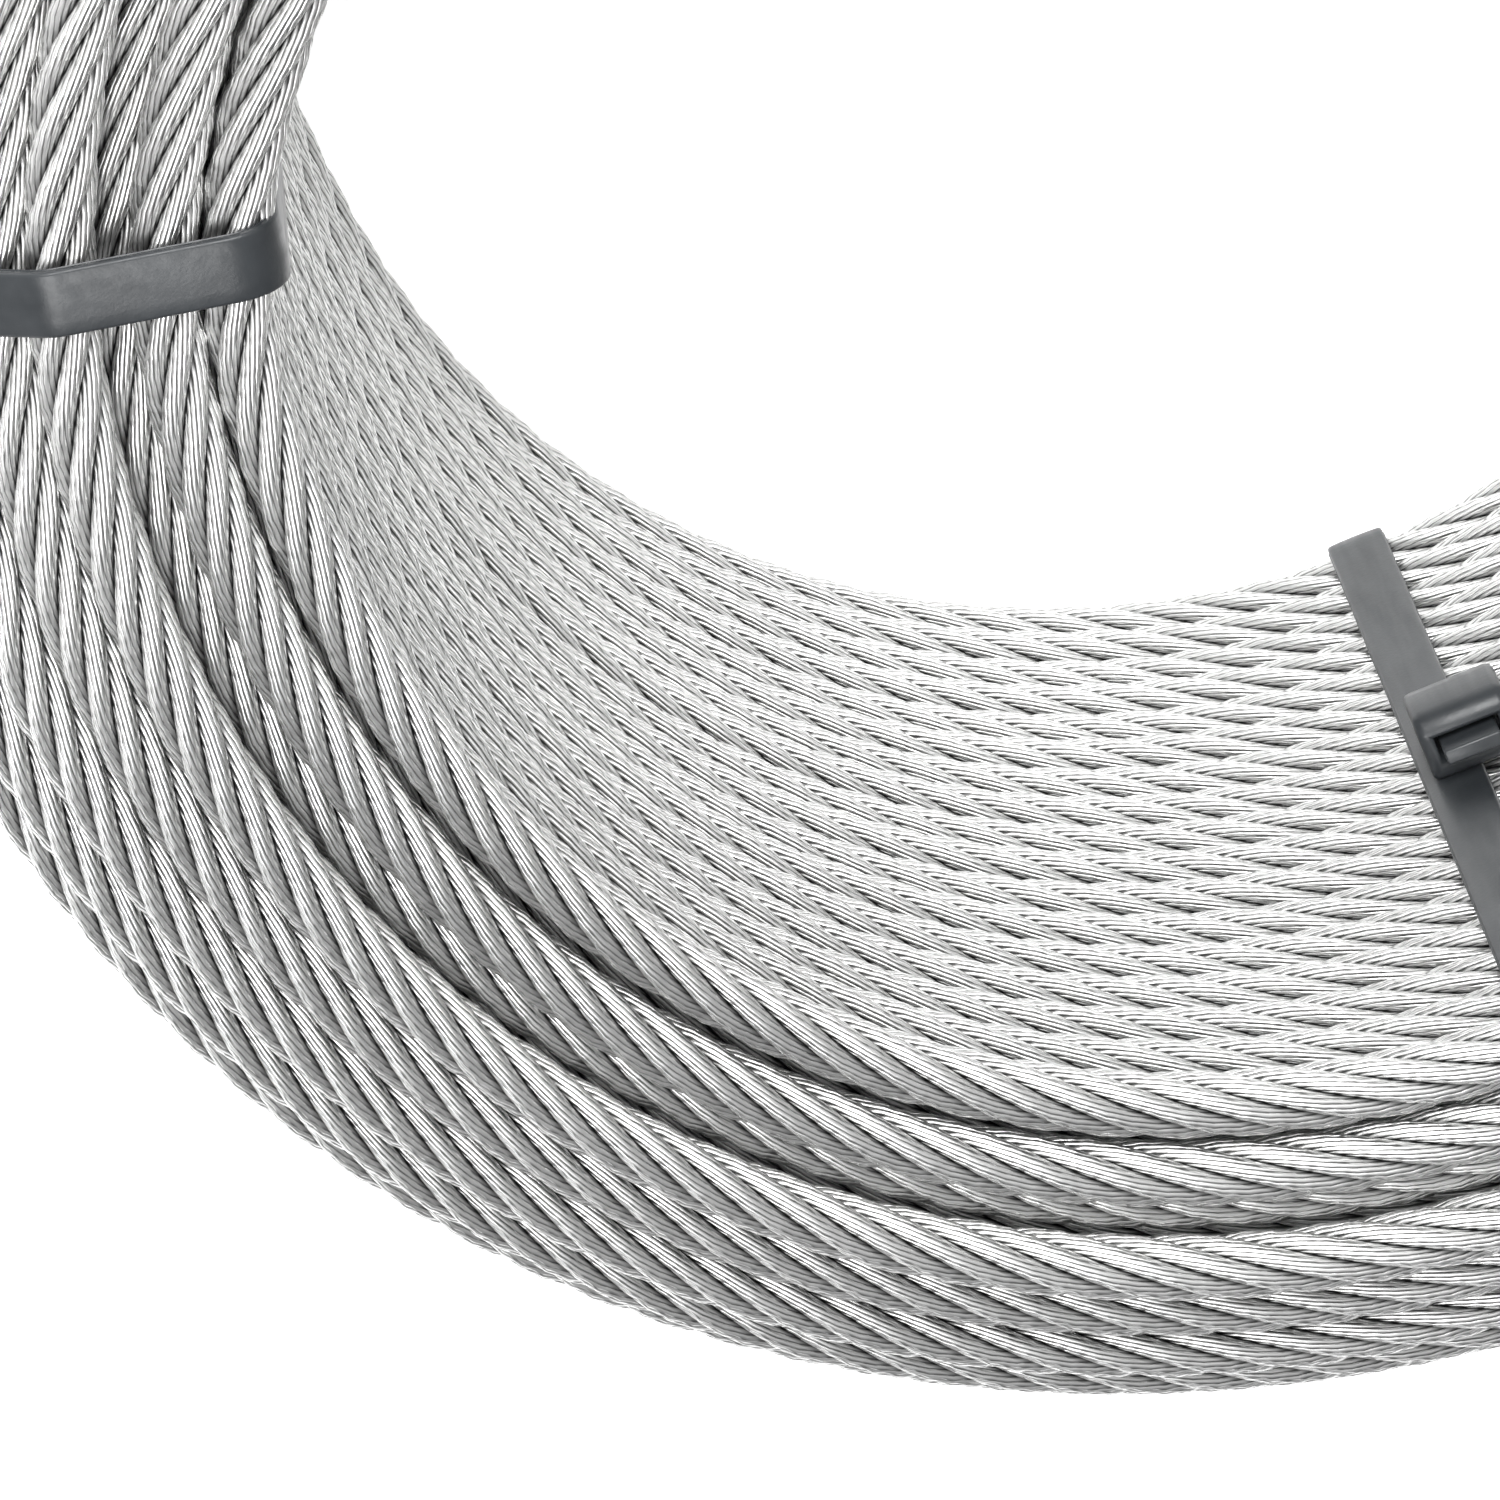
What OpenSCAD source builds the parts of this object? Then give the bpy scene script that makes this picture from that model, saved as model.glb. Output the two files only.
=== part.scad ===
// A storage coil of stainless steel wire rope, held by three cable ties.
// Its outer end is made up as a thimble eye and its inner end is capped.
// +Z is the coil's axis. The origin is on the axis, in the plane that the coil lies on.

/* [Rope] */
// Diameter of the wire rope
rope_d = 5; // [4:0.5:5.5]

/* [Coil] */
// Radius of the open middle
inner_r = 65; // [62:1:68]
// Height of the stacked turns
coil_h = 87.5; // [80:0.5:95]

/* [Cable ties] */
// Width of a tie's band
tie_w = 4.8; // [3.6:0.1:5.2]
// Thickness of a tie's band
tie_t = 1.1; // [0.9:0.1:1.3]
// Length of a tie's head along its band
head_l = 8; // [6:0.5:9]
// Width of a tie's head
head_w = 7.5; // [6:0.5:9]
// How far a tie's head stands out from the coil
head_h = 5.5; // [4.5:0.5:6]

/* [Outer end and thimble eye] */
// Direction from the coil's axis at which the rope leaves the coil, in degrees
exit_az = 88; // [86:1:89]
// Straight run of the rope beyond that point
lead_run = 36; // [35:0.2:37]
// Bend of the rope towards its ferrule, in degrees
lead_bend = 25; // [20:1:30]
// Radius of that bend
lead_bend_r = 52.5; // [48:0.5:55]
// Length of the pressed ferrule
ferrule_l = 16; // [14:0.5:17]
// Thickness of the thimble's metal
thimble_t = 1; // [0.8:0.1:1.1]
// Distance from the ferrule to the thimble's points
point_gap = 2.6; // [2.4:0.1:3.2]
// Radius of the rope's centreline round the thimble
eye_r = 9.2; // [8.8:0.1:9.4]
// Distance from the ferrule to the middle of the thimble's round end
eye_reach = 19; // [18:0.1:20]
// Length of the rope's dead end, where it stands out of the ferrule
dead_end_l = 2.5; // [2:0.5:4]

/* [Inner end] */
// Direction from the coil's axis of the cap's closed end, in degrees
cap_az = 184; // [182:1:186]
// Angle of the coil that the cap covers
cap_arc = 15; // [12:1:17]
// Wall of the cap
cap_t = 0.6; // [0.4:0.1:0.8]

/* [Hidden] */
$fn = 96;

rope_r = rope_d / 2;
// The coil's section is a band of rope round these rope centres. Its outer shoulder slopes:
// [across from the innermost turn, down from the top turn] in rope diameters.
shoulder = [[5.85, 2.55], [5.3, 1.7], [4.55, 1], [2.68, 0]];
coil_or = inner_r + (shoulder[0][0] + 1) * rope_d;
coil_mid_r = (inner_r + coil_or) / 2;
corner_turns = concat(
    [[inner_r + rope_r, rope_r], [coil_or - rope_r, rope_r]],
    [for (s = shoulder) [inner_r + rope_r + s[0] * rope_d, coil_h - rope_r - s[1] * rope_d]],
    [[inner_r + rope_r, coil_h - rope_r]]);
last_turn_r = coil_or - rope_r;

// Each tie's place: direction of its middle, skew from the radial plane, pull into the turns
left_place = [-22.5, 9, 2];
right_place = [88.5, 0, 0];
back_place = [209, 0, 0];

// Heights of the ties' heads, from the floor, and their shift sideways off the band
right_head_z = 45;
right_head_shift = 2.2;
left_head_z = 34;
back_head_z = 27;

// The outer end's route, from the last turn to the ferrule
lead_heading = exit_az + 90;
eye_heading = lead_heading + lead_bend;
eye_z = rope_r + thimble_t + 0.05;
strand_gap = rope_r + 0.1;
lead_clear = sqrt(pow(coil_or + rope_r, 2) - pow(last_turn_r, 2));
lead_l = lead_run + lead_bend_r * lead_bend * PI / 180;
exit_pt = last_turn_r * [cos(exit_az), sin(exit_az)];
bend_start = exit_pt + lead_run * [cos(lead_heading), sin(lead_heading)];
bend_centre = bend_start + lead_bend_r * [-sin(lead_heading), cos(lead_heading)];
lead_end = bend_centre + lead_bend_r * [sin(eye_heading), -cos(eye_heading)];
eye_pt = lead_end + strand_gap * [-sin(eye_heading), cos(eye_heading)];

// A sweep's station is a point of its path with the direction of the path there: [x, y, z, heading]
function lead_turn(s) = lead_heading + (s <= lead_run ? 0 : (s - lead_run) / lead_bend_r * 180 / PI);
function lead_z(s) = rope_r + (eye_z - rope_r) * (1 - cos(180 * s / lead_l)) / 2;
function lead_xy(s) = s <= lead_run
    ? exit_pt + s * [cos(lead_heading), sin(lead_heading)]
    : bend_centre + lead_bend_r * [sin(lead_turn(s)), -cos(lead_turn(s))];
lead_rings = 11;
lead_step = (lead_l - lead_clear) / (lead_rings - 1);
lead_run_out = [for (i = [0:lead_rings - 1])
    let (s = lead_clear + i * lead_step) [each lead_xy(s), lead_z(s), lead_turn(s)]];
in_ferrule = lead_end + ferrule_l * [cos(eye_heading), sin(eye_heading)];
lead_stations = concat(lead_run_out, [[each in_ferrule, eye_z, eye_heading]]);

// The thimble's straight sides lean in from its round end to the ferrule
eye_lean = asin(eye_r / norm([eye_reach, strand_gap])) - atan(strand_gap / eye_reach);
eye_arc_step = (180 + 2 * eye_lean) / 12;
eye_arc = [for (a = [-90 - eye_lean:eye_arc_step:90 + eye_lean + 0.001])
    [ferrule_l + eye_reach + eye_r * cos(a), eye_r * sin(a), 0, a + 90]];
eye_loop = concat([[ferrule_l, -strand_gap, 0, -eye_lean / 2]], eye_arc,
                  [[ferrule_l, strand_gap, 0, 180 + eye_lean / 2]]);
point_y = strand_gap + point_gap * tan(eye_lean);
thimble_loop = concat([[ferrule_l + point_gap, -point_y, 0, -eye_lean]], eye_arc,
                      [[ferrule_l + point_gap, point_y, 0, 180 + eye_lean]]);

// An outline's points are [across the path to its left, up], in anticlockwise order
rope_outline = [for (a = [0:30:330]) rope_r * [cos(a), sin(a)]];
thimble_lip = 1;
outer_lip_a = acos(-thimble_lip / (rope_r + thimble_t));
inner_lip_a = acos(-thimble_lip / rope_r);
thimble_outline = concat(
    [for (i = [-6:6]) (rope_r + thimble_t) * [cos(i * outer_lip_a / 6), sin(i * outer_lip_a / 6)]],
    [for (i = [6:-1:-6]) rope_r * [cos(i * inner_lip_a / 6), sin(i * inner_lip_a / 6)]]);

module sweep(stations, outline) {
    n = len(outline);
    last = len(stations) - 1;
    polyhedron(
        points = [for (s = stations) for (q = outline)
            [s[0] - q[0] * sin(s[3]), s[1] + q[0] * cos(s[3]), s[2] + q[1]]],
        faces = concat(
            [[for (k = [0:n - 1]) k]],
            [[for (k = [n - 1:-1:0]) last * n + k]],
            [for (i = [0:last - 1]) for (k = [0:n - 1])
                let (a = i * n + k, b = i * n + (k + 1) % n)
                each [[a, a + n, b + n], [a, b + n, b]]]));
}

// The outline that a band of radius r draws round the points of a convex polygon
function heading(a, b) = atan2(b[1] - a[1], b[0] - a[0]);
function around(pts, r) = let (n = len(pts)) [for (i = [0:n - 1])
    let (arrive = heading(pts[(i + n - 1) % n], pts[i]),
         turn = (heading(pts[i], pts[(i + 1) % n]) - arrive + 720) % 360,
         steps = ceil(turn / 15.6))
    for (k = [0:steps]) let (a = arrive - 90 + turn * k / steps) pts[i] + r * [cos(a), sin(a)]];

// Where a tie presses a rope centre to
function pressed(p, pull) = [
    p[0] + pull * (coil_mid_r - p[0]) / (coil_mid_r - inner_r),
    p[1] + tie_t - p[1] * (tie_t + pull / 2) / coil_h];

// Places what it holds in the upright plane of a tie, X outwards from the coil's axis
module at_tie(place) {
    rotate([0, 0, place[0]]) translate([coil_mid_r, 0, 0]) rotate([0, 0, place[1]])
        translate([-coil_mid_r, 0, 0]) children();
}

module tie_outline(place, grow) {
    polygon(around([for (p = corner_turns) pressed(p, place[2])], rope_r + grow));
}

module tie_band(place) {
    at_tie(place) translate([0, tie_w / 2, 0]) rotate([90, 0, 0]) linear_extrude(tie_w) difference() {
        tie_outline(place, tie_t);
        tie_outline(place, 0);
    }
}

// The turns are pressed in round a band, over a little more than its width
module tie_groove(place) {
    groove_w = tie_w + 7;
    at_tie(place) translate([0, groove_w / 2, 0]) rotate([90, 0, 0]) linear_extrude(groove_w) difference() {
        tie_outline(place, 2 * rope_d);
        tie_outline(place, 0);
    }
}

// The head is a block with a sloped nose. The band's free end runs up through it and is cut off.
module tie_head(x, side, z, shift) {
    translate([x, shift + head_w / 2, z]) mirror([side < 0 ? 1 : 0, 0, 0]) rotate([90, 0, 0])
        linear_extrude(head_w) polygon([
            [0, -head_l / 2], [head_h - 2, -head_l / 2], [head_h, -head_l / 2 + 3],
            [head_h, head_l / 2 - 1], [head_h - 1, head_l / 2], [0, head_l / 2]]);
}

module tail_stub(x, side, z, shift) {
    translate([x + side * head_h / 2 - tie_t / 2, shift - tie_w / 2, z + head_l / 2])
        cube([tie_t, tie_w, 2]);
}

module inner_cap_2d(r) {
    translate([inner_r + rope_r, rope_r + cap_t]) circle(r);
}

module cap_sweep(r, from, angle) {
    rotate([0, 0, from]) rotate_extrude(angle = angle) inner_cap_2d(r);
}

module rope_coil() {
    color("silver") difference() {
        rotate_extrude() polygon(around(corner_turns, rope_r));
        for (place = [left_place, right_place, back_place]) tie_groove(place);
        cap_sweep(rope_r + cap_t, cap_az, cap_arc);
    }
}

module rope_lead() {
    color("silver") sweep(lead_stations, rope_outline);
}

// Places what it holds at the ferrule's near end, X along the eye's axis
module at_eye() {
    translate([eye_pt[0], eye_pt[1], eye_z]) rotate([0, 0, eye_heading]) children();
}

module rope_eye() {
    color("silver") at_eye()
        sweep(concat(eye_loop, [[-dead_end_l, strand_gap, 0, 180]]), rope_outline);
}

module thimble() {
    color("gainsboro") at_eye() sweep(thimble_loop, thimble_outline);
}

module ferrule() {
    wall_r = eye_z;
    color("darkgray") at_eye() rotate([90, 0, 90]) linear_extrude(ferrule_l) difference() {
        union() {
            for (y = [-strand_gap, strand_gap]) translate([y, 0]) circle(wall_r);
            translate([-strand_gap, -wall_r]) square([2 * strand_gap, 2 * wall_r]);
        }
        for (y = [-strand_gap, strand_gap]) translate([y, 0]) circle(rope_r);
    }
}

module tie_left() {
    x = pressed(corner_turns[1], left_place[2])[0] + rope_r + tie_t;
    color("darkslategray") {
        tie_band(left_place);
        at_tie(left_place) {
            tie_head(x, 1, left_head_z, 0);
            tail_stub(x, 1, left_head_z, 0);
        }
    }
}

module tie_right() {
    x = inner_r - tie_t;
    color("darkslategray") {
        tie_band(right_place);
        at_tie(right_place) {
            tie_head(x, -1, right_head_z, right_head_shift);
            tail_stub(x, -1, right_head_z, right_head_shift);
        }
    }
}

module tie_back() {
    x = inner_r - tie_t;
    color("darkslategray") {
        tie_band(back_place);
        at_tie(back_place) {
            tie_head(x, -1, back_head_z, 0);
            tail_stub(x, -1, back_head_z, 0);
        }
    }
}

// A closed sleeve on the rope's inner end
module inner_end_cap() {
    color("black") difference() {
        cap_sweep(rope_r + cap_t, cap_az, cap_arc);
        cap_sweep(rope_r, cap_az + 1, cap_arc);
    }
}

rope_coil();
rope_lead();
rope_eye();
thimble();
ferrule();
tie_left();
tie_right();
tie_back();
inner_end_cap();
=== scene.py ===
"""A coil of stainless steel wire rope, tied in three places, with its outer end made up as a thimble eye.

Lengths are in metres and angles in degrees, in the frame's own axes: +Z is the coil's axis.
"""
import math

import bmesh
import bpy
import numpy as np
from mathutils import Matrix, Vector


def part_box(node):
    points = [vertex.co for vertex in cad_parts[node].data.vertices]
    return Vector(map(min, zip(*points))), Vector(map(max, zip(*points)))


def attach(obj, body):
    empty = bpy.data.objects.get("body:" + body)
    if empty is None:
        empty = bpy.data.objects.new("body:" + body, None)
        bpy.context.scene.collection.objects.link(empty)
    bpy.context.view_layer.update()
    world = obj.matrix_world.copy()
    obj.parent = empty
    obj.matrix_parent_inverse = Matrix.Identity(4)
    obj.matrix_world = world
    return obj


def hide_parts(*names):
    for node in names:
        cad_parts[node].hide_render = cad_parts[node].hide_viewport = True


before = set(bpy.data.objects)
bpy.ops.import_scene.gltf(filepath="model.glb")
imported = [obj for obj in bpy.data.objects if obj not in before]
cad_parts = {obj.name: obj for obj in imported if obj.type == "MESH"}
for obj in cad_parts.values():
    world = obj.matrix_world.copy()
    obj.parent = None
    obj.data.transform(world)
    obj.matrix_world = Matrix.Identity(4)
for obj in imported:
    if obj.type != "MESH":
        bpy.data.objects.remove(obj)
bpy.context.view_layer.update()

# Rope: six strands laid round a core strand, with twelve wires in each strand's outer layer
ROPE_D = 0.005
ROPE_R = ROPE_D / 2
LAY = 6.4 * ROPE_D
STRANDS = 6
WIRES = 12
WIRE_TURNS_PER_LAY = 2

# Coil: columns of stacked turns. For each: how far out and how far down its top turn is, in rope
# diameters, and how many turns it has. The rope winds up the first, down the next, and so on.
# The ties bear on the corner columns' top turns.
COLUMNS = [(0, 0, 17), (1.1, 0, 14), (1.85, 0.66, 13), (2.68, 0, 14),
           (3.6, 0.5, 13), (4.55, 1.0, 13), (5.3, 1.7, 12), (5.85, 2.55, 14)]
CORNER_COLUMNS = (7, 6, 5, 3, 0)
COIL_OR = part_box("rope_coil")[1][0]
COIL_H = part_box("rope_coil")[1][2]
COIL_IR = COIL_OR - (COLUMNS[-1][0] + 1) * ROPE_D
MID_R = (COIL_IR + COIL_OR) / 2
LAST_TURN_R = COIL_OR - ROPE_R

# The rope steps from turn to turn in this sector, which the first view doesn't reach
STEP_FROM, STEP_TO = 120.0, 178.0
START_AZ = 185.0
EXIT_AZ = 88.0

# How far turns wander between the ties, and how far they stand out where those of two columns cross
WANDER = 0.0002
CROSSING_RISE = 0.0007

# Hidden turns are plain tubes with this much rope between rings
PLAIN_GAP = 0.008

# Cable ties: direction of the middle, skew from the radial plane, pull into the turns
TIE_W = 0.0048
TIE_T = 0.0011
TIES = {
    "tie_left": (-22.5, 9.0, 0.0020),
    "tie_right": (88.5, 0.0, 0.0),
    "tie_back": (209.0, 0.0, 0.0),
}
# Angle from a tie over which its pull on the turns fades
TIE_REACH = 13.0
# Their heads: on the outer (1) or inner (-1) wall, height of the middle, and shift sideways off the band
HEAD_L, HEAD_W, HEAD_H = 0.008, 0.0075, 0.0055
HEADS = {
    "tie_left": (1, 0.034, 0.0),
    "tie_right": (-1, 0.045, 0.0022),
    "tie_back": (-1, 0.027, 0.0),
}

# Outer end: straight run, bend, ferrule and thimble
LEAD_RUN = 0.036
LEAD_BEND = 25.0
LEAD_BEND_R = 0.0525
FERRULE_L = 0.016
THIMBLE_T = 0.001
POINT_GAP = 0.0026
EYE_R = 0.0092
EYE_REACH = 0.019
DEAD_END_L = 0.0025
EYE_Z = ROPE_R + THIMBLE_T + 0.00005
STRAND_GAP = ROPE_R + 0.0001

# Inner end
CAP_AZ, CAP_ARC = 184.0, 15.0
CAP_T = 0.0006

# Edges sharper than this are rounded or kept sharp, in degrees
SHARP_ANGLE = 35.0

rng = np.random.default_rng(7)


# ---------------------------------------------------------------- camera and light

def aim(obj, at, along, up):
    """Puts obj at a point, with its -Z along one direction and its +Y as near to up as it goes."""
    z = -Vector(along).normalized()
    x = Vector(up).cross(z).normalized()
    y = z.cross(x)
    obj.matrix_world = Matrix((
        (x.x, y.x, z.x, at[0]), (x.y, y.y, z.y, at[1]), (x.z, y.z, z.z, at[2]), (0, 0, 0, 1)))


def add_camera():
    data = bpy.data.cameras.new("camera")
    data.lens = 165.4
    data.sensor_width = 36.0
    data.clip_start = 0.01
    camera = bpy.data.objects.new("camera", data)
    bpy.context.scene.collection.objects.link(camera)
    aim(camera, (0.0, -0.18706, 0.52164), (0.09517, 0.42792, -0.89879), (-0.39206, -0.81381, -0.42897))
    bpy.context.scene.camera = camera


def add_softbox(name, at, towards, size, power):
    data = bpy.data.lights.new(name, "AREA")
    data.shape = "RECTANGLE"
    data.size, data.size_y = size
    data.energy = power
    light = bpy.data.objects.new(name, data)
    bpy.context.scene.collection.objects.link(light)
    aim(light, at, Vector(towards) - Vector(at), (0, 0, 1))


def add_world():
    """A grey sky that is bright behind the camera and darker ahead of it."""
    world = bpy.data.worlds.new("studio")
    bpy.context.scene.world = world
    world.use_nodes = True
    nodes, links = world.node_tree.nodes, world.node_tree.links
    background = nodes["Background"]
    coords = nodes.new("ShaderNodeTexCoord")
    split = nodes.new("ShaderNodeSeparateXYZ")
    links.new(coords.outputs["Generated"], split.inputs[0])
    remap = nodes.new("ShaderNodeMapRange")
    remap.inputs["From Min"].default_value = -1.0
    remap.inputs["From Max"].default_value = 1.0
    links.new(split.outputs["Y"], remap.inputs["Value"])
    shade = ramp(nodes, links, remap.outputs[0],
                 (0.0, 0.95), (0.55, (0.5, 0.5, 0.505)), (1.0, (0.16, 0.16, 0.165)))
    links.new(shade, background.inputs["Color"])
    background.inputs["Strength"].default_value = 1.0


def add_studio():
    add_world()
    add_softbox("key", (-0.15, -0.75, 0.75), (0.0, 0.05, 0.03), (0.7, 0.5), 11.0)
    add_softbox("overhead", (0.35, 0.05, 0.9), (0.0, 0.0, 0.03), (0.5, 0.5), 6.0)
    bpy.ops.mesh.primitive_plane_add(size=6.0, location=(0, 0, -0.0002))
    floor = bpy.context.object
    floor.name = "floor"
    floor.data.materials.append(floor_material())
    bpy.context.scene.view_settings.view_transform = "Standard"


# ---------------------------------------------------------------- materials

def new_material(name):
    material = bpy.data.materials.new(name)
    material.use_nodes = True
    return material, material.node_tree.nodes, material.node_tree.links


def shader_of(nodes, roughness, metallic=0.0, specular=0.5, coat=0.0):
    shader = nodes["Principled BSDF"]
    shader.inputs["Roughness"].default_value = roughness
    shader.inputs["Metallic"].default_value = metallic
    shader.inputs["Specular IOR Level"].default_value = specular
    shader.inputs["Coat Weight"].default_value = coat
    return shader


def noise(nodes, links, scale, detail=3.0, stretch=(1.0, 1.0, 1.0)):
    texture = nodes.new("ShaderNodeTexNoise")
    texture.inputs["Scale"].default_value = scale
    texture.inputs["Detail"].default_value = detail
    coords = nodes.new("ShaderNodeTexCoord")
    mapping = nodes.new("ShaderNodeMapping")
    mapping.inputs["Scale"].default_value = stretch
    links.new(coords.outputs["Object"], mapping.inputs["Vector"])
    links.new(mapping.outputs[0], texture.inputs["Vector"])
    return texture.outputs["Fac"]


def ramp(nodes, links, source, *stops):
    """A colour ramp from stops of (position, grey or colour)."""
    node = nodes.new("ShaderNodeValToRGB")
    elements = node.color_ramp.elements
    while len(elements) < len(stops):
        elements.new(0.5)
    for element, (position, shade) in zip(elements, stops):
        element.position = position
        element.color = (*shade, 1.0) if hasattr(shade, "__len__") else (shade, shade, shade, 1.0)
    links.new(source, node.inputs[0])
    return node.outputs[0]


def math_node(nodes, links, operation, a, b=None):
    node = nodes.new("ShaderNodeMath")
    node.operation = operation
    for socket, value in zip(node.inputs, (a, b)):
        if hasattr(value, "is_linked"):
            links.new(value, socket)
        elif value is not None:
            socket.default_value = value
    return node.outputs[0]


def multiply(nodes, links, a, b):
    node = nodes.new("ShaderNodeMix")
    node.data_type = "RGBA"
    node.blend_type = "MULTIPLY"
    node.inputs["Factor"].default_value = 1.0
    links.new(a, node.inputs["A"])
    links.new(b, node.inputs["B"])
    return node.outputs["Result"]


def bump(nodes, links, height, distance, strength=1.0, under=None):
    node = nodes.new("ShaderNodeBump")
    node.inputs["Distance"].default_value = distance
    node.inputs["Strength"].default_value = strength
    links.new(height, node.inputs["Height"])
    if under is not None:
        links.new(under, node.inputs["Normal"])
    return node.outputs["Normal"]


def floor_material():
    material, nodes, links = new_material("floor_white")
    shader = shader_of(nodes, 0.9, specular=0.1)
    shader.inputs["Base Color"].default_value = (0.9, 0.9, 0.9, 1)
    shader.inputs["Emission Color"].default_value = (1, 1, 1, 1)
    shader.inputs["Emission Strength"].default_value = 0.7
    return material


def rope_material():
    """Bright drawn wire: each wire is a round ridge along the strand, with shade painted into its colour
    where wires and strands meet.
    """
    material, nodes, links = new_material("bright_wire")
    shader = shader_of(nodes, 0.3, metallic=1.0)
    wires = nodes.new("ShaderNodeUVMap")
    wires.uv_map = "wires"
    split = nodes.new("ShaderNodeSeparateXYZ")
    links.new(wires.outputs[0], split.inputs[0])
    phase = math_node(nodes, links, "MULTIPLY", split.outputs["X"], math.pi)
    wave = math_node(nodes, links, "SINE", phase)
    ridge = math_node(nodes, links, "ABSOLUTE", wave)
    crest = math_node(nodes, links, "POWER", ridge, 0.5)
    # Painted shade: the colour darkens in the crease between wires, and in the grooves between strands by
    # their depth
    painted_wire_shade = ramp(nodes, links, ridge, (0.0, 0.22), (0.3, 0.66), (0.7, 0.90))
    painted_strand_shade = ramp(nodes, links, split.outputs["Y"], (0.0, 0.07), (0.22, 0.45), (0.5, 0.92), (1.0, 1.0))
    patches = ramp(nodes, links, noise(nodes, links, 60.0),
                   (0.3, (0.90, 0.90, 0.89)), (0.7, (0.98, 0.98, 0.97)))
    painted_groove_shade = multiply(nodes, links, painted_wire_shade, painted_strand_shade)
    links.new(multiply(nodes, links, painted_groove_shade, patches), shader.inputs["Base Color"])
    drawn = noise(nodes, links, 900.0, 4.0)
    roughness = ramp(nodes, links, drawn, (0.3, 0.32), (0.7, 0.42))
    links.new(roughness, shader.inputs["Roughness"])
    fine = bump(nodes, links, drawn, 0.00001, 0.25)
    links.new(bump(nodes, links, crest, 0.00013, 0.9, fine), shader.inputs["Normal"])
    return material


def nylon_material():
    material, nodes, links = new_material("tie_nylon")
    shader = shader_of(nodes, 0.4, specular=0.5)
    patches = noise(nodes, links, 260.0, 4.0)
    shade = ramp(nodes, links, patches, (0.3, (0.022, 0.025, 0.028)), (0.7, (0.034, 0.038, 0.042)))
    links.new(shade, shader.inputs["Base Color"])
    scuffs = noise(nodes, links, 900.0, 3.0, (1.0, 1.0, 0.15))
    links.new(ramp(nodes, links, scuffs, (0.35, 0.30), (0.75, 0.46)), shader.inputs["Roughness"])
    grain = noise(nodes, links, 3500.0, 2.0)
    links.new(bump(nodes, links, grain, 0.00003, 0.35), shader.inputs["Normal"])
    return material


def vinyl_material():
    material, nodes, links = new_material("cap_vinyl")
    shader = shader_of(nodes, 0.2, specular=0.6, coat=0.4)
    shade = ramp(nodes, links, noise(nodes, links, 120.0),
                 (0.3, (0.010, 0.010, 0.012)), (0.7, (0.022, 0.022, 0.024)))
    links.new(shade, shader.inputs["Base Color"])
    links.new(bump(nodes, links, noise(nodes, links, 500.0, 2.0), 0.00008, 0.4), shader.inputs["Normal"])
    return material


def sheet_metal_material(name, tint, low, high):
    """Sheet or pressed metal with fine marks that run along it."""
    material, nodes, links = new_material(name)
    shader = shader_of(nodes, low, metallic=1.0)
    cloud = ramp(nodes, links, noise(nodes, links, 90.0), (0.3, tuple(0.88 * c for c in tint)), (0.7, tint))
    links.new(cloud, shader.inputs["Base Color"])
    marks = noise(nodes, links, 1500.0, 5.0, (1.0, 0.25, 3.0))
    links.new(ramp(nodes, links, marks, (0.35, low), (0.7, high)), shader.inputs["Roughness"])
    links.new(bump(nodes, links, marks, 0.00003, 0.3), shader.inputs["Normal"])
    return material


# ---------------------------------------------------------------- mesh building

def mesh_object(name, points, faces, material, uv=None):
    """A smooth mesh from arrays. Its faces all have as many corners, and uv has a row for each corner."""
    mesh = bpy.data.meshes.new(name)
    corners = faces.shape[1]
    mesh.vertices.add(len(points))
    mesh.vertices.foreach_set("co", points.astype(np.float32).ravel())
    mesh.loops.add(faces.size)
    mesh.loops.foreach_set("vertex_index", faces.astype(np.int32).ravel())
    mesh.polygons.add(len(faces))
    mesh.polygons.foreach_set("loop_start", np.arange(0, faces.size, corners, dtype=np.int32))
    if uv is not None:
        mesh.uv_layers.new(name="wires").data.foreach_set("uv", uv.astype(np.float32).ravel())
    mesh.polygons.foreach_set("use_smooth", np.ones(len(faces), dtype=bool))
    mesh.update(calc_edges=True)
    mesh.validate()
    mesh.materials.append(material)
    piece = bpy.data.objects.new(name, mesh)
    bpy.context.scene.collection.objects.link(piece)
    return piece


def unit(vectors):
    return vectors / np.linalg.norm(vectors, axis=-1, keepdims=True)


def frames_along(points):
    """For each point of a path that runs roughly level: its direction, its left and its up."""
    ahead = unit(np.gradient(points, axis=0))
    left = unit(np.cross((0.0, 0.0, 1.0), ahead))
    return ahead, left, np.cross(ahead, left)


def ring_faces(rings, sides, first=0):
    i, k = np.meshgrid(np.arange(rings - 1), np.arange(sides), indexing="ij")
    near, following = i * sides + k, i * sides + (k + 1) % sides
    return first + np.stack([near, following, following + sides, near + sides], axis=-1).reshape(-1, 4)


def fan_cap(ring, centre, flip):
    """Quads that close a ring of an even number of points onto a middle point."""
    n = len(ring)
    quads = [[centre, ring[k], ring[(k + 1) % n], ring[(k + 2) % n]] for k in range(0, n, 2)]
    return [quad[::-1] for quad in quads] if flip else quads


# ---------------------------------------------------------------- the rope's route

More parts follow.
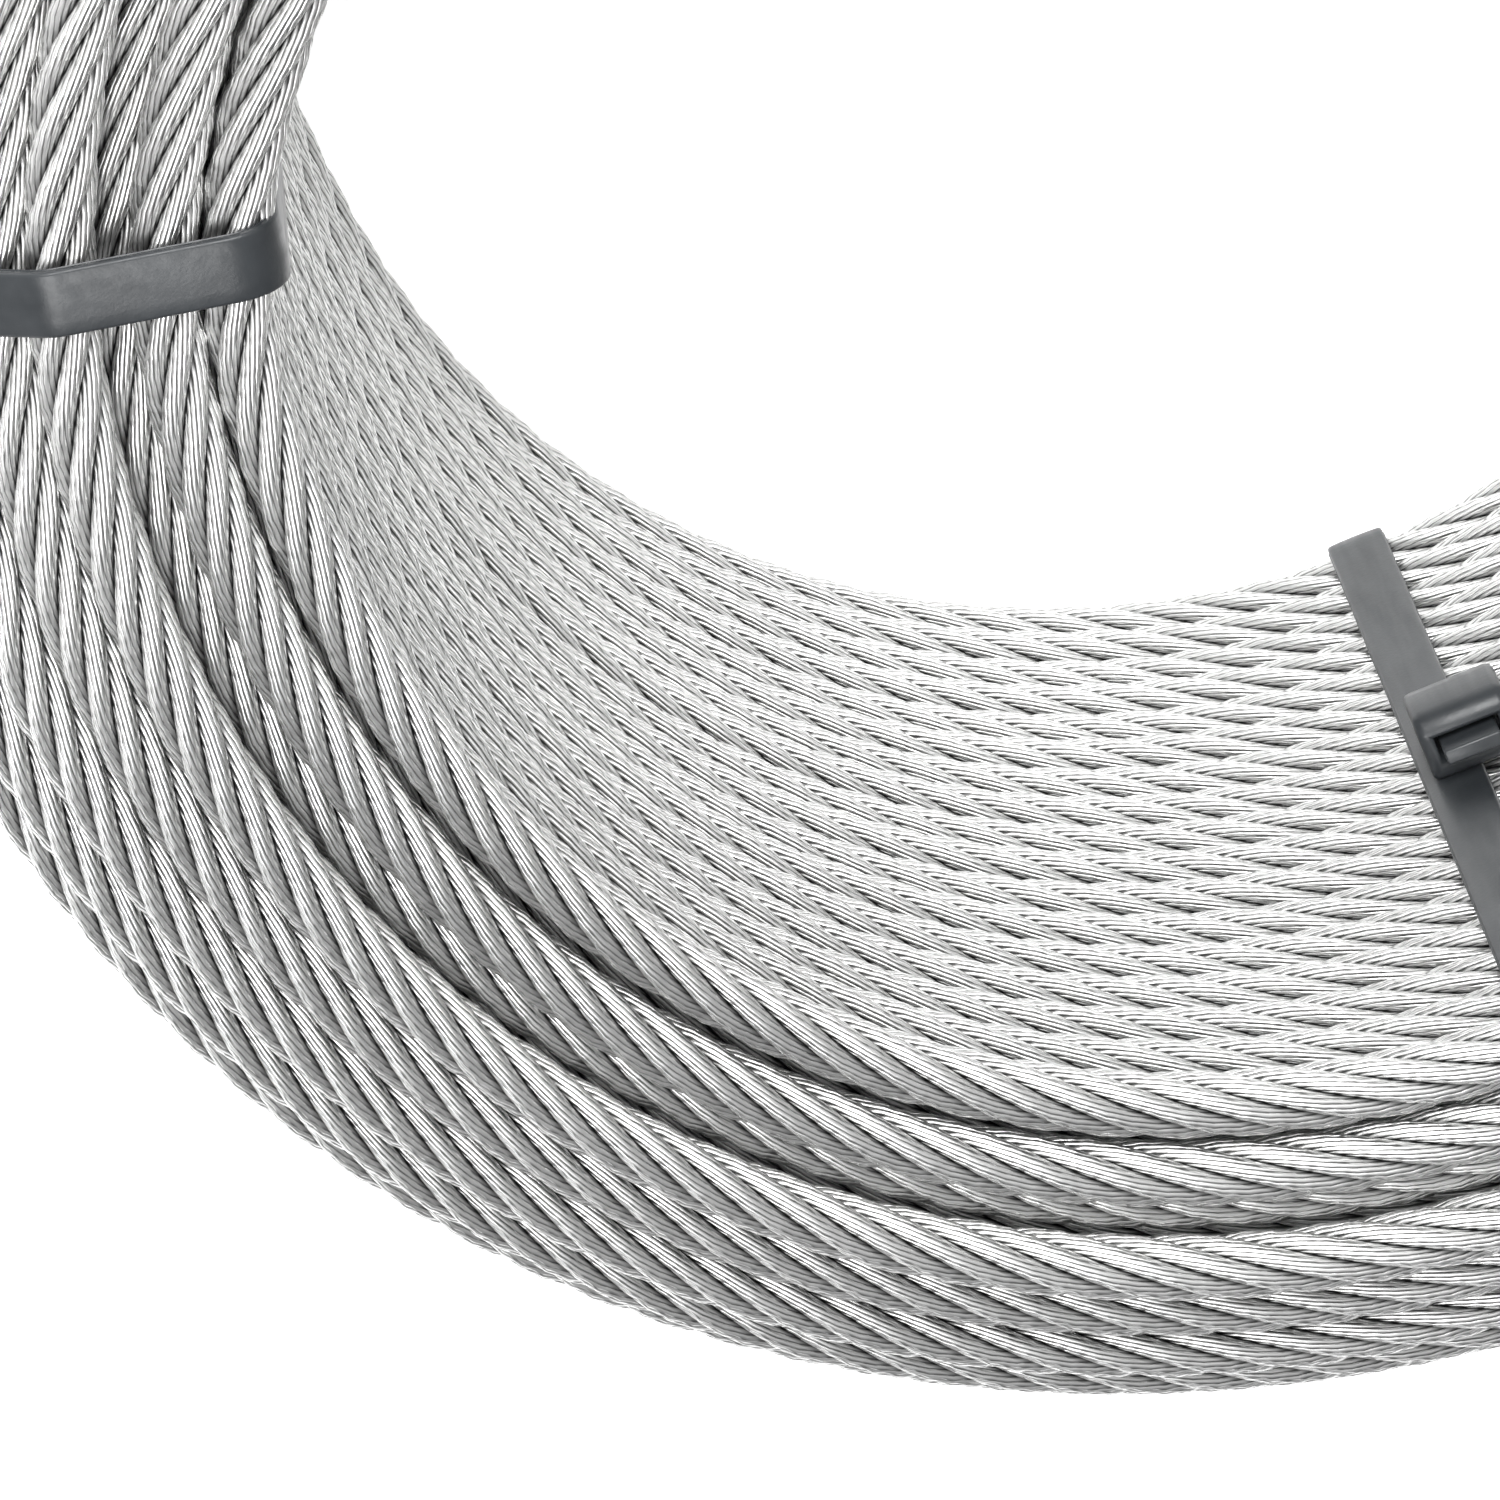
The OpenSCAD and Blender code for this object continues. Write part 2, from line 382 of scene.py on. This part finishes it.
def turn_places():
    """Radius and height of each turn, in winding order, and whether it can be seen from some side."""
    places, seen = [], []
    last = len(COLUMNS) - 1
    for column, (out, down, count) in enumerate(COLUMNS):
        top = COIL_H - ROPE_R - down * ROPE_D
        even = COLUMNS[-1][0] * column / last
        seen_from_above = 3 if column == last - 1 else 2
        for row in range(count) if column % 2 == 0 else reversed(range(count)):
            # The columns are uneven at the top, and settle to even ones below it
            below_top = count - 1 - row
            across = even + (out - even) * math.exp(-0.7 * below_top)
            places.append((COIL_IR + ROPE_R + across * ROPE_D, ROPE_R + (top - ROPE_R) * row / (count - 1)))
            seen.append(column in (0, last) or row == 0 or below_top < seen_from_above)
    return np.array(places), np.array(seen)


def near_ties(azimuth):
    """For each azimuth, how far each tie presses the turns there, from 0 to 1."""
    return [np.exp(-(((azimuth - tie[0] + 180) % 360 - 180) / TIE_REACH) ** 2) for tie in TIES.values()]


def pressed(radius, height, tie):
    """Where a tie's pull moves a turn to, as [out, up]."""
    pull = tie[2]
    return np.array([radius + pull * (MID_R - radius) / (MID_R - COIL_IR),
                     height + TIE_T - height * (TIE_T + pull / 2) / COIL_H])


def smooth(t):
    t = np.clip(t, 0.0, 1.0)
    return t * t * (3 - 2 * t)


def coil_route(places, seen):
    """Points of the coil, and whether each is in a turn that can be seen."""
    last = len(places) - 1
    az = np.arange(START_AZ, EXIT_AZ + 360.0 * (last + 1), 0.5)
    turn = np.floor((az - STEP_TO) / 360.0).astype(int)
    step = smooth(((az - STEP_TO) - 360.0 * turn - (360.0 + STEP_FROM - STEP_TO)) / (STEP_TO - STEP_FROM))
    following = np.minimum(turn + 1, last)
    radius, height = (places[turn] * (1 - step)[:, None] + places[following] * step[:, None]).T

    # Turns wander a little between the ties, each in its own way
    phases = rng.uniform(0, 2 * math.pi, (len(places) + 1, 4))
    sizes = rng.uniform(0.3, 1.0, (len(places) + 1, 2))
    a = np.radians(az)

    def wander(index, column):
        return sizes[index, column] * (np.sin(2 * a + phases[index, column])
                                       + 0.6 * np.sin(5 * a + phases[index, column + 2]))

    presses = near_ties(az)
    loose = WANDER * (1 - np.clip(sum(presses), 0, 1))
    radius = radius + loose * (wander(turn, 0) * (1 - step) + wander(turn + 1, 0) * step)
    height = height + 0.8 * loose * (wander(turn, 1) * (1 - step) + wander(turn + 1, 1) * step)
    # Where turns cross, they stand out a little
    radius = radius + CROSSING_RISE * np.sin(math.pi * step) * np.sign(radius - MID_R)
    for press, tie in zip(presses, TIES.values()):
        pressed_radius, pressed_height = pressed(radius, height, tie)
        radius = radius + press * (pressed_radius - radius)
        height = height + press * (pressed_height - height)
    # The capped end lies a cap's wall above the floor
    height = np.maximum(height, ROPE_R) + CAP_T * (1 - smooth((az - CAP_AZ - CAP_ARC) / 10))
    points = np.stack([radius * np.cos(a), radius * np.sin(a), height], axis=1)
    return points, seen[turn] | ((step > 0) & seen[following])


def direction(angle):
    return np.array([math.cos(math.radians(angle)), math.sin(math.radians(angle))])


def eye_frame():
    """The ferrule's near end, the direction of the eye's axis, and the lead's bend: its start and centre."""
    heading = EXIT_AZ + 90
    bend_start = LAST_TURN_R * direction(EXIT_AZ) + LEAD_RUN * direction(heading)
    bend_centre = bend_start + LEAD_BEND_R * direction(heading + 90)
    lead_end = bend_centre - LEAD_BEND_R * direction(heading + LEAD_BEND + 90)
    eye_heading = heading + LEAD_BEND
    return lead_end + STRAND_GAP * direction(eye_heading + 90), eye_heading, bend_start, bend_centre


def in_eye(points):
    """Points of the eye's own plane, X along it from the ferrule's near end, in the frame."""
    start, heading, _, _ = eye_frame()
    points = np.asarray(points)
    flat = start + points[:, :1] * direction(heading) + points[:, 1:2] * direction(heading + 90)
    return np.column_stack([flat, EYE_Z + (points[:, 2] if points.shape[1] > 2 else np.zeros(len(points)))])


def eye_loop(step=3.0):
    """The rope's line from the ferrule round the thimble and back, in the eye's own plane."""
    lean = math.degrees(math.asin(EYE_R / math.hypot(EYE_REACH, STRAND_GAP))
                        - math.atan(STRAND_GAP / EYE_REACH))
    centre = np.array([FERRULE_L + EYE_REACH, 0.0])
    arc = [centre + EYE_R * direction(a) for a in np.arange(-90 - lean, 90 + lean + 0.01, step)]
    near, far = np.array([FERRULE_L, -STRAND_GAP]), np.array([FERRULE_L, STRAND_GAP])
    leg_in = [near + t * (arc[0] - near) for t in np.linspace(0, 1, 12, endpoint=False)]
    leg_out = [arc[-1] + t * (far - arc[-1]) for t in np.linspace(0, 1, 12)[1:]]
    return leg_in + arc + leg_out


def outer_end_route():
    """From the last turn through the ferrule, round the thimble and back to the dead end."""
    _, _, bend_start, bend_centre = eye_frame()
    exit_point = LAST_TURN_R * direction(EXIT_AZ)
    run = [exit_point + t * (bend_start - exit_point) for t in np.linspace(0, 1, 60)[1:]]
    bend = [bend_centre - LEAD_BEND_R * direction(EXIT_AZ + 180 + a)
            for a in np.linspace(0, LEAD_BEND, 40)[1:]]
    lead = np.array(run + bend)
    gone = np.linspace(0, 1, len(lead))
    rise = ROPE_R + (EYE_Z - ROPE_R) * (1 - np.cos(math.pi * gone)) / 2
    in_ferrule = [(x, -STRAND_GAP) for x in np.linspace(0, FERRULE_L, 20, endpoint=False)[1:]]
    back = [(x, STRAND_GAP) for x in np.linspace(FERRULE_L, -DEAD_END_L, 24)[1:]]
    return np.vstack([np.column_stack([lead, rise]), in_eye(in_ferrule + eye_loop() + back)])


# ---------------------------------------------------------------- pieces

def strand_outline():
    """Round six touching strands: each point's offset from the rope's line, wire count and depth."""
    local = np.arange(-105.0, 106.0, 30.0)
    offsets, wires = [], []
    strand_r = ROPE_R / 3
    for strand in range(STRANDS):
        around = 360.0 / STRANDS * strand
        for a in local:
            offsets.append(2 * strand_r * direction(around) + strand_r * direction(around + a))
            wires.append(WIRES * (strand + a / 360.0))
    offsets = np.array(offsets)
    reach = np.linalg.norm(offsets, axis=1)
    depth = (reach - reach.min()) / (reach.max() - reach.min())
    return offsets, np.array(wires), depth


def plain_outline():
    """A plain tube's outline, in the form that strand_outline gives."""
    sides = np.arange(0.0, 360.0, 30.0)
    return 0.98 * ROPE_R * np.array([direction(a) for a in sides]), np.zeros(len(sides)), np.ones(len(sides))


def rope_stretch(route, length_at, gap, outline):
    """Rings of an outline along a stretch, turning with the lay: points, faces, wire map and middle line."""
    offsets, wires, depth = outline
    start, end = length_at[0], length_at[-1]
    stations = np.linspace(start, end, max(3, int((end - start) / gap) + 1))
    line = np.column_stack([np.interp(stations, length_at, route[:, k]) for k in range(3)])
    _, left, up = frames_along(line)
    twist = 2 * math.pi * stations / LAY
    c, s = np.cos(twist)[:, None], np.sin(twist)[:, None]
    x = offsets[:, 0] * c - offsets[:, 1] * s
    y = offsets[:, 0] * s + offsets[:, 1] * c
    points = line[:, None, :] + x[..., None] * left[:, None, :] + y[..., None] * up[:, None, :]
    rings, sides = x.shape
    faces = ring_faces(rings, sides)
    whole_wires = np.append(wires, wires[0] + WIRES * STRANDS)
    count = whole_wires[None, :] + (WIRES * WIRE_TURNS_PER_LAY * stations / LAY)[:, None]
    deep = np.append(depth, depth[0])
    corners = np.stack([count[:-1, :-1], count[:-1, 1:], count[1:, 1:], count[1:, :-1]], axis=-1)
    corners = corners - np.floor(corners[..., :1])
    near_depth, next_depth = deep[:-1], deep[1:]
    depths = np.broadcast_to(
        np.stack([near_depth, next_depth, next_depth, near_depth], axis=-1), corners.shape)
    uv = np.stack([corners, depths], axis=-1).reshape(-1, 2)
    return points.reshape(-1, 3), faces, uv, line


def make_rope(material):
    """The whole rope as one mesh, from its capped end to its dead end, and its middle line."""
    coil, seen = coil_route(*turn_places())
    outer = outer_end_route()
    route = np.vstack([coil, outer])
    seen = np.append(seen, np.ones(len(outer), dtype=bool))
    length_at = np.append(0.0, np.cumsum(np.linalg.norm(np.diff(route, axis=0), axis=1)))
    fine_gap = LAY / 16
    edges = np.flatnonzero(np.diff(seen.astype(int))) + 1
    bounds = np.concatenate([[0], edges, [len(route)]])
    points, faces, uvs, line, first = [], [], [], [], 0
    for a, b in zip(bounds[:-1], bounds[1:]):
        b = min(b + 1, len(route))
        outline, gap = (strand_outline(), fine_gap) if seen[a] else (plain_outline(), PLAIN_GAP)
        p, f, uv, centres = rope_stretch(route[a:b], length_at[a:b], gap, outline)
        sides = len(outline[0])
        caps = np.array(fan_cap(list(range(sides)), len(p), True)
                        + fan_cap(list(range(len(p) - sides, len(p))), len(p) + 1, False))
        points += [p, centres[:1], centres[-1:]]
        faces += [first + f, first + caps]
        uvs += [uv, np.tile((0.5, 0.4), (caps.size, 1))]
        line.append(centres)
        first += len(p) + 2
    rope = mesh_object("wire_rope", np.vstack(points), np.vstack(faces), material, np.vstack(uvs))
    print("rope", round(length_at[-1], 3), "m,", first, "points")
    return rope, np.vstack(line)


def sweep(name, points, left, up, outline, material, closed=False):
    """Sweeps an outline of [to the left, up] points along a path. outline may differ at each point."""
    outline = np.broadcast_to(outline, (len(points),) + np.shape(outline)[-2:])
    rings = (points[:, None, :] + outline[..., :1] * left[:, None, :] + outline[..., 1:] * up[:, None, :])
    count, sides = rings.shape[:2]
    faces = ring_faces(count, sides).tolist()
    if closed:
        ends = (count - 1) * sides
        faces += [[ends + k, ends + (k + 1) % sides, (k + 1) % sides, k] for k in range(sides)]
    else:
        faces += [list(range(sides))[::-1], [(count - 1) * sides + k for k in range(sides)]]
    mesh = bpy.data.meshes.new(name)
    mesh.from_pydata(rings.reshape(-1, 3).tolist(), [], faces)
    mesh.materials.append(material)
    piece = bpy.data.objects.new(name, mesh)
    bpy.context.scene.collection.objects.link(piece)
    finish_mesh(piece)
    return piece


def finish_mesh(piece, bevel=None):
    """Rounds the sharp edges if asked, and shades smooth with the flat faces kept flat."""
    bpy.context.view_layer.objects.active = piece
    piece.select_set(True)
    if bevel:
        rounding = piece.modifiers.new("bevel", "BEVEL")
        rounding.width, rounding.segments = bevel, 3
        rounding.limit_method, rounding.angle_limit = "ANGLE", math.radians(SHARP_ANGLE)
        bpy.ops.object.modifier_apply(modifier=rounding.name)
    bpy.ops.object.shade_smooth_by_angle(angle=math.radians(SHARP_ANGLE))
    piece.select_set(False)


def at_tie(tie, points):
    """Points of a tie's own plane [out from the coil's axis, sideways, up] in the frame."""
    az, skew, _ = tie
    middle = MID_R * direction(az)
    points = np.asarray(points)
    flat = (middle + (points[:, :1] - MID_R) * direction(az + skew)
            + points[:, 1:2] * direction(az + skew + 90))
    return np.column_stack([flat, points[:, 2]])


def tie_line(tie):
    """The line of a band round the corner turns, as [out, up] points, and its outward directions."""
    corners = [pressed(COIL_IR + ROPE_R, ROPE_R, tie), pressed(COIL_OR - ROPE_R, ROPE_R, tie)]
    for column in CORNER_COLUMNS:
        out, down, _ = COLUMNS[column]
        corners.append(pressed(COIL_IR + ROPE_R + out * ROPE_D, COIL_H - ROPE_R - down * ROPE_D, tie))
    line, outwards = [], []
    for k, corner in enumerate(corners):
        arrive, leave = corner - corners[k - 1], corners[(k + 1) % len(corners)] - corner
        start = math.degrees(math.atan2(arrive[1], arrive[0])) - 90
        turn = (math.degrees(math.atan2(leave[1], leave[0])) - 90 - start) % 360
        for a in start + turn * np.linspace(0, 1, 2 + int(turn / 12)):
            line.append(corner + ROPE_R * direction(a))
            outwards.append(direction(a))
    return np.array(line[::-1]), np.array(outwards[::-1])


def densify(line, outwards, gap=0.0008):
    """Adds even points on the straight stretches of a closed line."""
    points, normals = [], []
    for k in range(len(line)):
        a, b = line[k], line[(k + 1) % len(line)]
        n = max(1, int(np.linalg.norm(b - a) / gap))
        for t in np.arange(n) / n:
            points.append(a + t * (b - a))
            mix = outwards[k] * (1 - t) + outwards[(k + 1) % len(line)] * t
            normals.append(mix / np.linalg.norm(mix))
    return np.array(points), np.array(normals)


def band_outline(tooth):
    """A band's section: a crowned outer face, a raised parting line at each edge and ladder teeth inside."""
    w, t = TIE_W / 2, TIE_T
    edge, ridge = 0.00028, 0.00007
    recess = 0.00022 * tooth
    return np.array([
        (-w, 0.3 * t), (-w + edge, 0.0), (-0.62 * w, 0.0), (-0.56 * w, recess), (0.56 * w, recess),
        (0.62 * w, 0.0), (w - edge, 0.0), (w, 0.3 * t), (w, 0.46 * t), (w + ridge, 0.5 * t),
        (w, 0.54 * t), (w, 0.74 * t), (w - 0.1 * edge, 0.86 * t), (w - 0.5 * edge, 0.96 * t),
        (w - edge, t), (0.5 * w, 1.04 * t), (0.0, 1.05 * t), (-0.5 * w, 1.04 * t), (-w + edge, t),
        (-w + 0.5 * edge, 0.96 * t), (-w + 0.1 * edge, 0.86 * t), (-w, 0.74 * t), (-w, 0.54 * t),
        (-w - ridge, 0.5 * t), (-w, 0.46 * t)])


def make_band(name, tie, material):
    line, outwards = densify(*tie_line(tie))
    points = at_tie(tie, np.insert(line, 1, 0.0, axis=1))
    up = at_tie(tie, np.insert(line + outwards, 1, 0.0, axis=1)) - points
    left = np.tile(np.append(direction(tie[0] + tie[1] + 90), 0.0), (len(points), 1))
    outlines = np.array([band_outline(0.5 + 0.5 * math.cos(math.pi * k)) for k in range(len(points))])
    return sweep(name, points, left, up, outlines, material, closed=True)


def rounded_prism(name, profile, width, place, bevel, material):
    """Extrudes a profile of [out, up] points sideways, puts it in place and rounds its edges."""
    n = len(profile)
    points = [(x, side * width / 2, z) for side in (-1, 1) for x, z in profile]
    faces = [list(range(n)), list(range(n, 2 * n))[::-1]]
    faces += [[k, k + n, (k + 1) % n + n, (k + 1) % n] for k in range(n)]
    mesh = bpy.data.meshes.new(name)
    mesh.from_pydata(place(points).tolist(), [], faces)
    tidy = bmesh.new()
    tidy.from_mesh(mesh)
    bmesh.ops.recalc_face_normals(tidy, faces=tidy.faces)
    tidy.to_mesh(mesh)
    tidy.free()
    mesh.materials.append(material)
    piece = bpy.data.objects.new(name, mesh)
    bpy.context.scene.collection.objects.link(piece)
    finish_mesh(piece, bevel)
    return piece


def cut_slot(piece, cutter):
    hole = piece.modifiers.new("slot", "BOOLEAN")
    hole.object, hole.operation, hole.solver = cutter, "DIFFERENCE", "EXACT"
    bpy.context.view_layer.objects.active = piece
    bpy.ops.object.modifier_apply(modifier=hole.name)
    bpy.data.objects.remove(cutter, do_unlink=True)


def make_head(name, tie, side, height, shift, material):
    """A tie's head on the inner (-1) or outer (1) wall, with its slot and the cut end of the band in it."""
    edge = COIL_IR + ROPE_R if side < 0 else COIL_OR - ROPE_R
    wall = pressed(edge, ROPE_R, tie)[0] + side * (ROPE_R + TIE_T)

    def place(points):
        points = np.asarray(points, dtype=float)
        return at_tie(tie, np.column_stack([
            wall + side * points[:, 0], shift + points[:, 1], height + points[:, 2]]))

    half = HEAD_L / 2
    profile = [(0.0, -half), (HEAD_H - 0.0022, -half), (HEAD_H - 0.0006, -half + 0.0012),
               (HEAD_H, -half + 0.0032), (HEAD_H, half - 0.0012), (HEAD_H - 0.0011, half), (0.0, half)]
    head = rounded_prism(name + "_head", profile, HEAD_W, place, 0.0007, material)
    x0, x1 = HEAD_H / 2 - 0.9 * TIE_T, HEAD_H / 2 + 1.0 * TIE_T
    slot = [(x0, half - 0.0022), (x1, half - 0.0022), (x1, half + 0.001), (x0, half + 0.001)]
    cut_slot(head, rounded_prism("cutter", slot, TIE_W + 0.0005, place, None, material))
    tail = [(x0 + 0.0004, half - 0.003), (x0 + 0.0004 + TIE_T, half - 0.003),
            (x0 + 0.0004 + TIE_T, half + 0.0017), (x0 + 0.0004, half + 0.0020)]
    stub = rounded_prism(name + "_tail", tail, TIE_W - 0.0002, place, 0.0002, material)
    return [head, stub]


def make_thimble(material):
    """A round-backed channel that the rope lies in, with rolled lips."""
    loop = np.array(eye_loop(4.0))
    points = in_eye(loop[loop[:, 0] > FERRULE_L + POINT_GAP])
    _, left, up = frames_along(points)
    outer, inner = ROPE_R + THIMBLE_T, ROPE_R + 0.00002
    lip_outer, lip_inner = math.degrees(math.acos(-0.001 / outer)), math.degrees(math.acos(-0.001 / inner))
    lip_middle = np.array([-0.001, (math.sin(math.radians(lip_outer)) * outer
                                    + math.sin(math.radians(lip_inner)) * inner) / 2])
    lip_r = THIMBLE_T / 2
    roll = [lip_middle + lip_r * direction(a) for a in (105, 125, 145, 165, 180, 195, 215, 235, 255)]
    lower_roll = [np.array([p[0], -p[1]]) for p in roll[::-1]]
    outline = ([outer * direction(a) for a in np.linspace(-lip_outer + 3, lip_outer - 3, 24)] + roll
               + [inner * direction(a) for a in np.linspace(lip_inner - 4, -lip_inner + 4, 20)] + lower_roll)
    return sweep("thimble_channel", points, left, up, np.array(outline), material)


def make_ferrule(material):
    """A pressed sleeve: an eight-shaped section with rounded ends and three die marks."""
    def section(scale, waist):
        ring = []
        for a in np.arange(0.0, 360.0, 7.5):
            x, y = direction(a)
            lobe = np.array([x * EYE_Z + math.copysign(STRAND_GAP, x) * min(1.0, abs(x) * 4), y * EYE_Z])
            pinch = 1 - waist * math.exp(-(lobe[0] / (0.45 * STRAND_GAP)) ** 2)
            ring.append((lobe[0] * scale, lobe[1] * scale * pinch))
        return np.array(ring)

    along = np.linspace(0.0, FERRULE_L, 91)
    outlines = []
    for x in along:
        end = min(x, FERRULE_L - x)
        rounding = 1 - 0.07 * (1 - min(1.0, end / 0.0008)) ** 2
        dies = sum(math.exp(-((x - FERRULE_L * at) / 0.0017) ** 4) for at in (0.2, 0.5, 0.8))
        outlines.append(section(rounding * (1 - 0.035 * dies), 0.05 + 0.10 * dies))
    points = in_eye([(x, 0.0) for x in along])
    _, left, up = frames_along(points)
    return sweep("ferrule_sleeve", points, left, up, np.array(outlines), material)


def make_inner_cap(material):
    """A dipped sleeve on the rope's inner end, with a domed tip and a rolled mouth."""
    radius, height = COIL_IR + ROPE_R, ROPE_R + CAP_T
    outer, end = ROPE_R + CAP_T, CAP_AZ + CAP_ARC
    tip = [(CAP_AZ + 2.2 * (1 - math.cos(a)), outer * math.sin(a)) for a in np.radians(np.arange(6, 91, 7))]
    body = [(az, outer * (1 + 0.012 * math.sin(3.0 * az))) for az in np.linspace(CAP_AZ + 2.6, end, 30)]
    mouth = [(end + 0.25, outer * 1.03), (end + 0.55, outer * 0.99), (end + 0.65, outer * 0.9)]
    stations = tip + body + mouth
    az = np.radians([s[0] for s in stations])
    points = np.column_stack([radius * np.cos(az), radius * np.sin(az), np.full(len(az), height)])
    _, left, up = frames_along(points)
    circle = np.array([direction(a) for a in np.arange(0, 360, 10)])
    outlines = np.array([circle * s[1] for s in stations])
    return sweep("inner_cap", points, left, up, outlines, material)


def make_cut_end(material):
    """The wires of the seven strands where the dead end is cut off."""
    wire_r = ROPE_R / 15
    strand_r = ROPE_R / 3
    rings = [(1, 0.0), (6, 2 * wire_r), (WIRES, 4 * wire_r)]
    builder = bmesh.new()
    tilt = Matrix.Rotation(math.radians(90), 4, "Y")
    for strand in range(STRANDS + 1):
        middle = np.zeros(2) if strand == STRANDS else 2 * strand_r * direction(60.0 * strand)
        for count, reach in rings:
            for k in range(count):
                y, z = middle + reach * direction(360.0 * k / count)
                x = -DEAD_END_L + rng.uniform(-0.00012, 0.00012)
                spot = Matrix.Translation((x, STRAND_GAP + y, z))
                bmesh.ops.create_cone(builder, cap_ends=True, segments=10, radius1=0.97 * wire_r,
                                      radius2=0.97 * wire_r, depth=0.0006, matrix=spot @ tilt)
    mesh = bpy.data.meshes.new("cut_wires")
    builder.to_mesh(mesh)
    builder.free()
    local = np.array([v.co[:] for v in mesh.vertices])
    mesh.vertices.foreach_set("co", in_eye(local).astype(np.float32).ravel())
    mesh.materials.append(material)
    piece = bpy.data.objects.new("cut_wires", mesh)
    bpy.context.scene.collection.objects.link(piece)
    return piece


def belongs(piece, slot, *nodes):
    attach(piece, "root")
    if nodes:
        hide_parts(*nodes)


# ---------------------------------------------------------------- the object

add_camera()
wire, nylon, vinyl = rope_material(), nylon_material(), vinyl_material()
stainless = sheet_metal_material("thimble_stainless", (0.86, 0.86, 0.85), 0.12, 0.26)
aluminium = sheet_metal_material("ferrule_aluminium", (0.80, 0.81, 0.82), 0.28, 0.44)

rope, rope_line = make_rope(wire)
belongs(rope, "wire_rope", "rope_coil", "rope_lead", "rope_eye")
thimble = make_thimble(stainless)
belongs(thimble, "thimble_metal", "thimble")
ferrule = make_ferrule(aluminium)
belongs(ferrule, "ferrule_metal", "ferrule")
cap = make_inner_cap(vinyl)
belongs(cap, "cap_vinyl", "inner_end_cap")
cut_wires = make_cut_end(wire)
belongs(cut_wires, "wire_rope")

for name, tie in TIES.items():
    band = make_band(name + "_band", tie, nylon)
    belongs(band, "tie_nylon", name)
    for part in make_head(name, tie, *HEADS[name], nylon):
        belongs(part, "tie_nylon")

add_studio()
